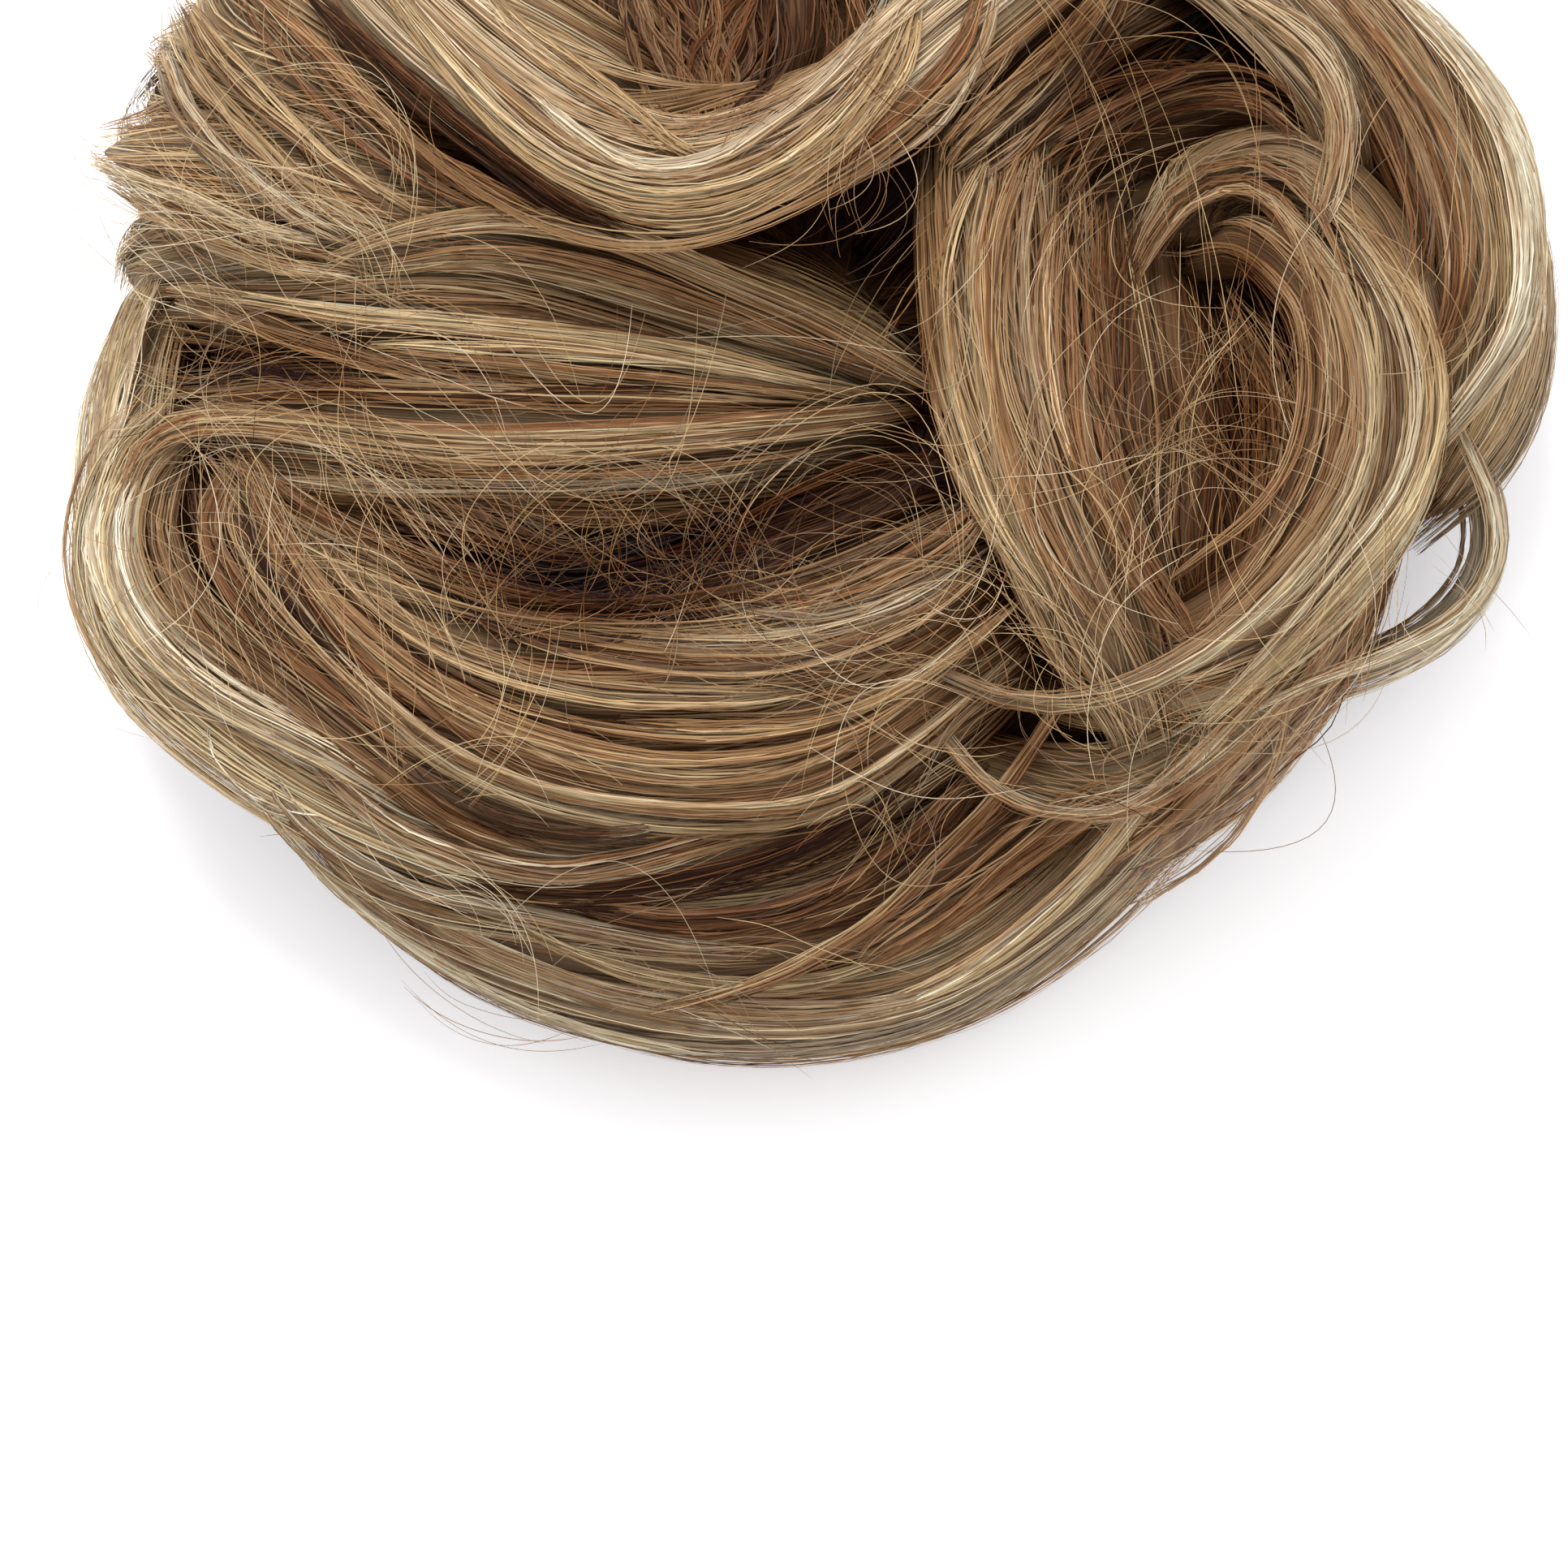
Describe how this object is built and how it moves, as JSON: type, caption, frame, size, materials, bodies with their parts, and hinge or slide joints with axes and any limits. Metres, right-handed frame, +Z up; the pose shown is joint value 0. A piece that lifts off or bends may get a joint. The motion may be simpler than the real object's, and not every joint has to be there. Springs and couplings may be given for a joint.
{
  "type": "top knot hairpiece",
  "caption": "Round tousled top knot of curled false hair, with locks looped over a wound core that is hollow below and has an elastic loop.",
  "frame": {"origin": "middle of the underside, on the surface that the knot lies on", "axes": "+X to the right of the knot, +Y to its back, +Z up from the underside to the crown"},
  "size_m": [0.1624, 0.145, 0.0731],
  "materials": {
    "elastic_band": "dark covered elastic",
    "hair_core": "wound false hair in shade",
    "crown_loop": "false hair, pale blonde",
    "crown_band": "false hair, golden brown",
    "upper_left_sweep": "false hair, light brown",
    "left_bars": "false hair, streaked brown and blonde",
    "left_curl": "false hair, pale blonde",
    "front_sweeps": "false hair, streaked brown and blonde",
    "front_rim": "false hair, ash brown and blonde",
    "right_curl": "false hair, golden brown",
    "outer_right_curl": "false hair, blonde",
    "side_loop": "false hair, blonde",
    "back_locks": "false hair, light brown"
  },
  "bodies": {
    "root": {"elastic_band": "elastic_band", "hair_core": "hair_core", "crown_loop": "crown_loop", "crown_band": "crown_band", "upper_left_sweep": "upper_left_sweep", "left_bars": "left_bars", "left_curl": "left_curl", "front_sweeps": "front_sweeps", "front_rim": "front_rim", "right_curl": "right_curl", "outer_right_curl": "outer_right_curl", "side_loop": "side_loop", "back_locks": "back_locks"}
  },
  "joints": []
}
